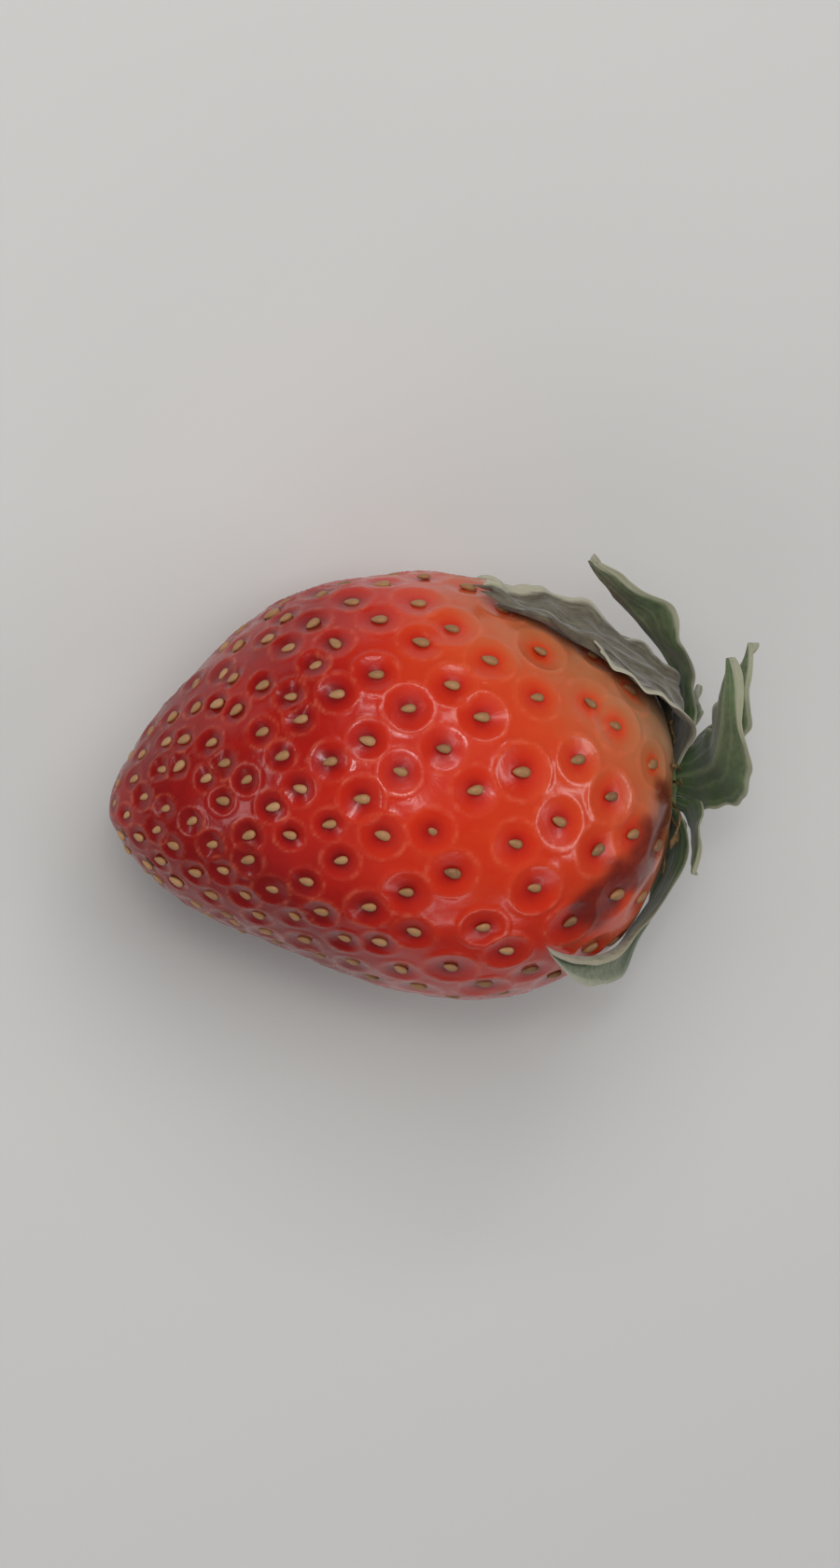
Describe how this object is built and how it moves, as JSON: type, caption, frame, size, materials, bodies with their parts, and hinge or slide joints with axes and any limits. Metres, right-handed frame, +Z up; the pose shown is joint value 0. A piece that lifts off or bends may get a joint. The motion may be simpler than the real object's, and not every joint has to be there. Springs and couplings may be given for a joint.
{
  "type": "strawberry",
  "caption": "Ripe strawberry lying on its side: a conical red fruit with a leafy green calyx and a short stub of stalk.",
  "frame": {"origin": "middle of the small flat spot under the fruit, which lies on the surface", "axes": "+Z is up. The fruit's tip points along -X and its stalk along +X. +Y completes the right-handed frame and has no front or back meaning."},
  "size_m": [0.0516, 0.0358, 0.0335],
  "materials": {
    "fruit_skin": "moist, glossy skin",
    "seed": "dry, hard seed coat",
    "leaf": "soft, slightly hairy leaf",
    "stalk_green": "pale green, fibrous",
    "stamen_brown": "dry and withered"
  },
  "bodies": {
    "root": {"fruit": "fruit_skin", "calyx_disc": "stalk_green", "stalk": "stalk_green", "sepal_upper": "leaf", "sepal_front": "leaf", "sepal_lower": "leaf", "sepal_near_floor": "leaf", "sepal_under": "leaf", "sepal_far": "leaf", "bract_upper": "leaf", "bract_front": "leaf", "bract_lower": "leaf", "bract_near_floor": "leaf", "bract_under": "leaf", "bract_far": "leaf", "stamen_01": "stamen_brown", "stamen_02": "stamen_brown", "stamen_03": "stamen_brown", "stamen_04": "stamen_brown", "stamen_05": "stamen_brown", "stamen_06": "stamen_brown", "stamen_07": "stamen_brown", "stamen_08": "stamen_brown", "stamen_09": "stamen_brown", "stamen_10": "stamen_brown", "stamen_11": "stamen_brown", "stamen_12": "stamen_brown", "stamen_13": "stamen_brown", "stamen_14": "stamen_brown", "stamen_15": "stamen_brown", "stamen_16": "stamen_brown", "stamen_17": "stamen_brown", "stamen_18": "stamen_brown"}
  },
  "joints": []
}
